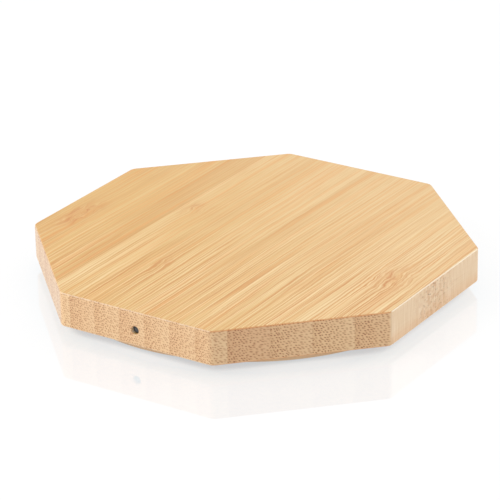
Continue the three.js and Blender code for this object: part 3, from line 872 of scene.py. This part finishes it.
MATERIALS = {
    "base_plastic": moulded("beige plastic", (222, 186, 146), 0.5, 0.5, 9.0),
    "silicone": moulded("silicone", (140, 132, 120), 0.72, 0.35, 5.0, sheen=0.25),
    "steel": metal("screw steel", (170, 171, 174), 0.34),
    "smoked_acrylic": smoked_acrylic(),
    "circuit_board": board_laminate(),
    "tape": amber_tape(),
    "ferrite": ferrite(),
    "copper": litz_copper(),
    "foam": foam(),
    "solder": metal("solder", (196, 198, 202), 0.26, stain=0.35),
    "nickel": metal("nickel plate", (196, 194, 188), 0.26, (0.6, 0.08, 0.6)),
    "port_plastic": moulded("black plastic", (34, 34, 36), 0.5, 0.4, 12.0),
    "gold": metal("gold plate", (222, 178, 84), 0.25, (1.0, 0.2, 1.0), 0.1),
    "chip_package": moulded("chip epoxy", (28, 29, 31), 0.55, 0.6, 20.0),
    "ceramic": ceramic("capacitor ceramic", (158, 124, 88), (128, 98, 68)),
    "led_package": ceramic("lamp package", (234, 233, 226), (214, 212, 204)),
}


# Names of the pieces whose name differs from their CAD node by more than _part.
PIECE_NAMES = {
    "base_cover": "base_disc",
    "antislip_ring": "grip_ring",
    "light_pipe": "indicator_lens",
    "circuit_board": "main_board",
    "ferrite_tape": "shield_tape",
    "ferrite_shield": "shield_plate",
    "coil_tape": "coil_backing_tape",
    "charging_coil": "coil_winding",
    "foam_pad": "foam_disc",
    "coil_lead_outer": "outer_lead",
    "coil_lead_inner": "inner_lead",
    "coil_solder_1": "solder_joint_1",
    "coil_solder_2": "solder_joint_2",
    "usb_shell": "port_shell",
    "usb_insulator": "port_tongue",
}


def finished(node, form_or_mesh, slot, extra=()):
    """A piece that replaces one CAD node, in its slot's material and any further ones."""
    mesh = form_or_mesh if isinstance(form_or_mesh, bpy.types.Mesh) else mesh_of(node, form_or_mesh)
    return piece(PIECE_NAMES.get(node, node + "_part"), mesh, [MATERIALS[slot], *extra], slot, node)


# ---- The underside ----------------------------------------------------------------------------

BASE_LOW, BASE_HIGH = low_high("base_cover")
RING_HIGH = low_high("antislip_ring")[1]
PLATE_TOP = WOOD_LOW.z - 0.02
SPIGOT = (31.9, 33.85, WOOD_LOW.z + 1)  # inner and outer radius and top of the locating rim
RING_RADII = (36.15, RING_HIGH.x)
SCREW_DISTANCE = 39  # of the screws from the middle
POST_DISTANCE = 27  # of the posts that carry the board
DIAGONALS = [math.radians(degrees) for degrees in (45, 135, 225, 315)]


def arc(radius, middle, start, end, steps=6):
    """Profile points round a quarter or so of a circle, angles in degrees."""
    turn = [math.radians(start + (end - start) * i / steps) for i in range(steps + 1)]
    return [(middle[0] + radius * math.cos(a), middle[1] + radius * math.sin(a)) for a in turn]


def base_disc():
    """The base with its ring groove and locating rim, countersunk screw holes and board posts."""
    low, radius = BASE_LOW.z, BASE_HIGH.x
    inner, outer, rim = SPIGOT
    groove_inner, groove_outer = RING_RADII[0] - 0.15, RING_RADII[1] + 0.15
    groove_roof = low + 0.75
    floor = low + 1.4
    profile = [(groove_inner - 3, low)]
    profile += arc(0.12, (groove_inner - 0.12, low + 0.12), -90, 0, 4)
    profile += arc(0.12, (groove_inner + 0.12, groove_roof - 0.12), 180, 90, 4)
    profile += arc(0.12, (groove_outer - 0.12, groove_roof - 0.12), 90, 0, 4)
    profile += arc(0.12, (groove_outer + 0.12, low + 0.12), 180, 270, 4)
    profile += arc(0.3, (radius - 0.3, low + 0.3), -90, 0)
    profile += arc(0.08, (radius - 0.08, PLATE_TOP - 0.08), 0, 90, 3)
    profile += [(outer, PLATE_TOP)]
    profile += arc(0.15, (outer - 0.15, rim - 0.15), 0, 90, 4)
    profile += arc(0.15, (inner + 0.15, rim - 0.15), 90, 180, 4)
    profile += arc(0.2, (inner - 0.2, floor + 0.2), 0, -90, 4)
    plate = mesh_of("plate", lathe(profile, 192))
    holes, posts = [], []
    for angle in DIAGONALS:
        screw = (SCREW_DISTANCE * math.cos(angle), SCREW_DISTANCE * math.sin(angle))
        holes.append(lathe([(2.0, 0), (2.0, 1.28), (1.1, 2.18), (1.1, 4)], 48, screw))
        post = (POST_DISTANCE * math.cos(angle), POST_DISTANCE * math.sin(angle))
        top = BASE_HIGH.z
        root = arc(0.4, (1.9, floor + 0.4), 270, 180, 4)
        posts.append(lathe([(1.9, floor - 0.3), *root, *arc(0.15, (1.35, top - 0.15), 0, 90, 3)], 32, post))
    finished("base_cover", carve(plate, holes, posts), "base_plastic")


def grip_ring():
    """A silicone ring with shallow ribs on its underside."""
    inner, outer = RING_RADII
    top = RING_HIGH.z
    ribs = 6
    width = (outer - inner - 0.5) / ribs
    profile = [(inner, top), (inner, 0.25)]
    for index in range(ribs):
        start = inner + 0.25 + index * width
        profile += [(start + width * share, level)
                    for share, level in ((0.04, 0.12), (0.14, 0.0), (0.80, 0.0), (0.92, 0.12))]
    profile += [(outer, 0.25), (outer, top)]
    finished("antislip_ring", lathe(profile, 192, closed=True), "silicone")


def screws():
    """Countersunk screws, head down, with a cross recess and a cut thread."""
    for node in numbered("cover_screw", 4):
        low, high = low_high(node)
        x, y = (low.x + high.x) / 2, (low.y + high.y) / 2
        head, core, crest, pitch = (high.x - low.x) / 2, 0.62, 0.85, 0.7
        steps = 24
        cone = [(head - 0.06, 0), (head, 0.06), (head, 0.15), (0.95, 0.95), (core, 1.1)]
        loops = [at_height(circle(radius, steps, (x, y)), low.z + rise) for radius, rise in cone]
        thread_start, tip = low.z + 1.2, high.z - 0.7
        rows = int((tip - thread_start) / (pitch / 8))
        for row in range(rows + 1):
            z = thread_start + row * pitch / 8
            fade = min(1, row / 6, (rows - row) / 10 + 0.25)
            loop = []
            for side in range(steps):
                turn = side / steps
                phase = ((z - thread_start) / pitch - turn) % 1
                radius = core + (crest - core) * fade * max(0.0, 1 - 3.2 * abs(phase - 0.5))
                loop.append((x + radius * math.cos(TAU * turn), y + radius * math.sin(TAU * turn), z))
            loops.append(loop)
        loops.append(at_height(circle(0.05, steps, (x, y)), high.z))
        wings = [slab(lambda inset, w=w, d=d: rectangle(w, d, 0.12, 3, (x, y)), low.z - 0.5, low.z + 0.6)
                 for w, d in ((2.0, 0.5), (0.5, 2.0))]
        finished(node, carve(mesh_of("screw", loft(loops)), wings), "steel")


# ---- The indicator and the port ---------------------------------------------------------------


def indicator_lens():
    """A moulded light pipe: a slightly domed rod on a flange that bears on the wood."""
    low, high = PIPE_LOW, PIPE_HIGH
    rod = along_y(lathe([*[(r, low.y + 0.10 - d) for r, d in ((0.3, 0.095), (0.6, 0.06), (0.8, 0.02))],
                         (0.9, low.y + 0.16), (0.9, high.y - 0.6)], 48))
    flange = block((low.x, high.y - 1.2, low.z), (high.x, high.y, high.z), 0.2)
    finished("light_pipe", carve(mesh_of("flange", flange), additions=[rod]), "smoked_acrylic")


def stadium(width, height, steps=12):
    return rectangle(width, height, height / 2 - 0.001, steps)


def port_shell():
    """The drawn shell: folded lips at the mouth, and a wing on each side soldered to the board."""
    low, high = low_high("usb_shell")
    width, height, wall = 8.94, high.z - low.z, 0.3
    back, mouth = low.y, high.y

    def section(inset, y):
        return at_height(stadium(width - 2 * inset, height - 2 * inset), y)

    lip = [(0.15 - 0.15 * math.cos(a), mouth - 0.15 + 0.15 * math.sin(a))
           for a in (math.pi * i / 8 for i in range(9))]
    loops = [section(0, back), *[section(inset, y) for inset, y in lip], section(wall, back)]
    tube = along_y(loft(loops, closed=True))
    board_top = low_high("circuit_board")[1].z + 0.02
    wings = []
    for side in (-1, 1):
        ends = sorted((side * (width / 2 - wall + 0.05), side * high.x))
        wings.append(block((ends[0], 43, board_top), (ends[1], 44.6, board_top + 0.3), 0.06, 3))
    finished("usb_shell", carve(mesh_of("tube", tube), additions=wings), "nickel")


def port_tongue():
    """The housing at the back of the shell and the tongue, with a groove for each contact."""
    low, high = low_high("usb_insulator")
    width, height = high.x - low.x, high.z - low.z
    rounding, front = 0.1, 43.65
    ends = ((rounding, low.y), (0, low.y + rounding), (0, front - rounding), (rounding, front))
    loops = [at_height(stadium(width - 2 * inset, height - 2 * inset), y) for inset, y in ends]
    housing = along_y(loft(loops))
    tongue = block((-3.345, low.y + 0.4, CENTRE_LINE - 0.35), (3.345, high.y, CENTRE_LINE + 0.35), 0.1)
    grooves = []
    for x in (-0.75, 1.25, 2.75):
        for middle, low_z, high_z in ((x, 0.35, 0.72), (-x, -0.72, -0.35)):
            grooves.append(block((middle - 0.25, 41, CENTRE_LINE + low_z),
                                 (middle + 0.25, 45, CENTRE_LINE + high_z), 0.02, 2))
    finished("usb_insulator", carve(mesh_of("housing", housing), grooves, [tongue]), "port_plastic")


def port_contacts():
    """Stamped contacts: flat on the tongue, stepped down onto the board, with a rounded nose."""
    for node in numbered("usb_contact", 6):
        low, high = low_high(node)
        side = 1 if (low.z + high.z) / 2 > CENTRE_LINE else -1
        near = low.z if side > 0 else high.z
        thickness = 0.12
        far = (high.z - thickness) if side > 0 else (low.z + thickness)
        path = [(low.y, far), (41.65, far), (41.75, far + (near - far) * 0.1),
                (41.95, far + (near - far) * 0.9), (42.05, near), (high.y - 0.25, near), (high.y, near)]
        loops = []
        for index, (y, z) in enumerate(path):
            squeeze = 0.05 if index in (0, len(path) - 1) else 0.0
            base, top = sorted((z, z + side * thickness))
            outline = rectangle(high.x - low.x - 2 * squeeze, top - base, 0.03, 2, (0, (base + top) / 2))
            loops.append([((low.x + high.x) / 2 + px, y, pz) for px, pz in outline])
        finished(node, loft(loops), "gold")


# ---- The board and the coil stack -------------------------------------------------------------


def main_board():
    """The laminate with its two tabs, the notch for the port, via holes, and pads for the parts."""
    low, high = low_high("circuit_board")
    middle_disc = disc("circuit_board", 0.04, 2)
    rear = block((-6.8, 0, low.z), (6.8, high.y, high.z), 0.04, 2)
    front = block((-3, low.y, low.z), (3, 0, high.z), 0.04, 2)
    notch = block((-4.65, 41.9, low.z - 1), (4.65, 50, high.z + 1), 0.3, 3)
    holes = []
    for radius, count, start in ((29.6, 24, 0.1), (26.3, 12, 0.3)):
        for index in range(count):
            angle = start + TAU * index / count
            middle = (radius * math.cos(angle), radius * math.sin(angle))
            holes.append(lathe([(0.16, low.z - 0.2), (0.16, high.z + 0.2)], 12, middle))
    laminate = carve(mesh_of("laminate", middle_disc), [notch, *holes], [rear, front])
    pads = []
    for degrees in (-61.5, -50, 100, 112, 124, 136):
        angle = math.radians(degrees)
        middle = (28.9 * math.cos(angle), 28.9 * math.sin(angle))
        radius = 1.5 if degrees < 0 else 0.7
        pads.append((lathe([(radius, high.z - 0.02), (radius, high.z + 0.014)], 32, middle), 1))
    for node in SURFACE_PARTS:
        part_low, part_high = low_high(node)
        on_top = part_low.z > low.z
        level = high.z if on_top else low.z
        sizes = part_high - part_low
        long_x = sizes.x >= sizes.y
        reach = (sizes.x if long_x else sizes.y) / 2
        depth = (sizes.y if long_x else sizes.x) / 2
        for sign in (-1, 1):
            along = sorted((sign * (reach - 0.35), sign * (reach + 0.25)))
            corners = [(along[0], -depth), (along[1], depth)]
            if not long_x:
                corners = [(y, x) for x, y in corners]
            middle = (part_low + part_high) / 2
            xs, ys = zip(*corners)
            pads.append((block((middle.x + min(xs), middle.y + min(ys), level - 0.014),
                               (middle.x + max(xs), middle.y + max(ys), level + 0.014), 0.005, 1), 1))
    finished("circuit_board", merge(laminate, mesh_of("pads", *pads)), "circuit_board", [MATERIALS["gold"]])


SLOT_ANGLE = -50  # degrees round from X at which the inner lead runs outward


def disc(node, edge, steps=3):
    low, high = low_high(node)
    return slab(lambda inset: circle(high.x - inset, 160), low.z, high.z, edge, edge, steps)


def slotted_disc(node, slot, edge):
    """A disc with a radial slot that the inner lead passes through."""
    low, high = low_high(node)
    points, faces = block((7.5, -0.75, low.z - 1), (27, 0.75, high.z + 1), 0.3, 3)
    turn = Matrix.Rotation(math.radians(SLOT_ANGLE), 3, "Z")
    cutter = ([tuple(turn @ Vector(point)) for point in points], faces)
    finished(node, carve(mesh_of("disc", disc(node, edge)), [cutter]), slot)


def coil_stack():
    """From the board up: tape, ferrite plate, tape ring, winding and foam."""
    slotted_disc("ferrite_tape", "tape", 0.02)
    slotted_disc("ferrite_shield", "ferrite", 0.12)
    low, high = low_high("coil_tape")
    hole = 10.6
    section = [(hole, low.z), (high.x, low.z), (high.x, high.z), (hole, high.z)]
    finished("coil_tape", lathe(section, 160, closed=True), "tape")
    finished("foam_pad", disc("foam_pad", 0.1), "foam")
    low, high = low_high("charging_coil")
    pitch = high.z - low.z
    radius = pitch / 2
    inner, outer, level = 10.0 + radius, high.x - radius, (low.z + high.z) / 2
    turns = 8 + (360 - 34) / 360
    steps = int(turns * 200)
    path = []
    for step in range(steps + 1):
        angle = math.radians(-84) - TAU * turns * (1 - step / steps)
        distance = inner + (outer - inner) * step / steps
        path.append(Vector((distance * math.cos(angle), distance * math.sin(angle), level)))
    finished("charging_coil", rope(path, radius - 0.005, 6, 0.14, 9.0), "copper")


def polar(radius, degrees, height):
    angle = math.radians(degrees)
    return Vector((radius * math.cos(angle), radius * math.sin(angle), height))


def coil_leads():
    """The coil's two ends, on the same routes as in the CAD, and their solder joints."""
    coil_low, coil_high = low_high("charging_coil")
    board_top = low_high("circuit_board")[1].z
    middle = (coil_low.z + coil_high.z) / 2
    radius, end = 0.43, 27.6
    laid = board_top + radius + 0.08
    outer = [(20.93, -88, middle), (21.35, -84, middle), (22.1, -80, middle), (22.6, -76, middle),
             (23.8, -71, middle), (25.4, -67, middle - 0.08), (26.4, -64.5, middle - 0.58),
             (27, -62.5, laid + 0.13), (end, -61.5, laid)]
    stand = 9.25
    through_slot = [(stand + 0.1, middle - 0.1), (stand, coil_low.z - 0.2), (stand + 0.3, laid + 0.28),
                    (stand + 1.1, laid), (stand + 6, laid), ((stand + end) / 2, laid), (end - 4, laid),
                    (end, laid)]
    inner = [(10.6, -46, middle), (10.0, -49, middle + 0.05),
             *[(distance, SLOT_ANGLE, height) for distance, height in through_slot]]
    for node, route, steps in (("coil_lead_outer", outer, 10), ("coil_lead_inner", inner, 12)):
        path = smooth_path([polar(*point) for point in route], steps)
        finished(node, rope(path, radius, 6, 0.14, 5.0), "copper")
    for node in numbered("coil_solder", 2):
        low, high = low_high(node)
        middle = (low + high) / 2
        reach, rise = (high.x - low.x) / 2, high.z - low.z
        angles = [math.pi / 2 * index / 10 for index in range(1, 10)]
        bead = [(reach * math.cos(a) ** 0.8, low.z + rise * math.sin(a) ** 1.3) for a in angles]
        profile = [(reach, low.z), *bead, (0.04, high.z)]
        finished(node, lathe(profile, 40, (middle.x, middle.y)), "solder")


# ---- The parts on the board -------------------------------------------------------------------


CAPACITORS = [*numbered("resonant_capacitor", 4), *numbered("input_capacitor", 3),
              *numbered("decoupling_capacitor", 4)]
RESISTORS = numbered("signal_resistor", 6) + ["sense_resistor", "led_resistor"]
SURFACE_PARTS = CAPACITORS + RESISTORS + ["thermistor", "status_led"]


def two_terminal(node, slot, cap_share=0.22):
    """A ceramic body between two plated ends."""
    low, high = low_high(node)
    sizes = high - low
    axis = 0 if sizes.x >= sizes.y else 1
    cap = sizes[axis] * cap_share
    inset = 0.035
    edge = 0.06
    body_low, body_high = low + Vector((inset,) * 3), high - Vector((inset,) * 3)
    parts = [(block(body_low, body_high, edge, 2), 0)]
    for near in (True, False):
        cap_low, cap_high = low.copy(), high.copy()
        if near:
            cap_high[axis] = low[axis] + cap
        else:
            cap_low[axis] = high[axis] - cap
        parts.append((block(cap_low, cap_high, edge, 3), 1))
    finished(node, mesh_of(node, *parts), slot, [MATERIALS["solder"]])


def packaged_chip(node, leads_per_side, sides):
    """A moulded package with a dimple at its first lead and flat leads along its edges."""
    low, high = low_high(node)
    middle = (low + high) / 2
    body = mesh_of("body", block(low + Vector((0.05, 0.05, 0)), high - Vector((0.05, 0.05, 0.03)), 0.07, 3))
    half = (high.x - low.x) / 2
    dimple = lathe([(0.22, low.z - 0.3), (0.22, low.z + 0.03), (0.12, low.z + 0.05)], 24,
                   (low.x + 0.7, high.y - 0.7))
    leads = []
    step = 2 * half / (leads_per_side + 1)
    for side in range(sides):
        turn = Matrix.Rotation(TAU * side / sides, 3, "Z")
        for index in range(leads_per_side):
            across = -half + step * (index + 1)
            points, faces = block((half - 0.42, across - 0.14, high.z - 0.22),
                                  (half, across + 0.14, high.z), 0.03, 2)
            moved = [tuple(turn @ Vector(p) + Vector((middle.x, middle.y, 0))) for p in points]
            leads.append(((moved, faces), 1))
    whole = merge(carve(body, [dimple]), mesh_of("leads", *leads))
    finished(node, whole, "chip_package", [MATERIALS["solder"]])


def status_lamp():
    """A white cup with a domed resin filling between two plated ends."""
    low, high = low_high("status_led")
    middle = (low + high) / 2
    cup = block(low + Vector((0.25, 0, 0)), high - Vector((0.25, 0, 0.12)), 0.05, 2)
    ends = [(block((x0, low.y, low.z), (x1, high.y, low.z + 0.35), 0.04, 2), 2)
            for x0, x1 in ((low.x, low.x + 0.4), (high.x - 0.4, high.x))]
    dome = lathe([(0.4, high.z - 0.2), (0.4, high.z - 0.1), (0.33, high.z - 0.03), (0.15, high.z)], 32,
                 (middle.x, middle.y))
    finished("status_led", mesh_of("lamp", (cup, 0), (dome, 1), *ends), "led_package",
             [phosphor(), MATERIALS["solder"]])


def board_parts():
    for node in CAPACITORS:
        two_terminal(node, "ceramic")
    for node in RESISTORS:
        two_terminal(node, "chip_package", 0.2)
    two_terminal("thermistor", "ceramic", 0.25)
    packaged_chip("controller_chip", 8, 4)
    for node in numbered("bridge_mosfet", 2):
        packaged_chip(node, 4, 2)
    status_lamp()


make_camera()
make_world()
make_floor()
softbox("key", -48, 34, 0.9, (0.45, 0.45), 3.9)
softbox("rear", 138, 28, 0.9, (0.5, 0.3), 2.9, (0.96, 0.98, 1.0))
softbox("fill", 48, 8, 0.9, (0.6, 0.3), 0.5, (1.0, 0.96, 0.90))

bamboo_block()
base_disc()
grip_ring()
screws()
indicator_lens()
port_shell()
port_tongue()
port_contacts()
main_board()
coil_stack()
coil_leads()
board_parts()

bpy.context.scene.view_settings.view_transform = "Standard"
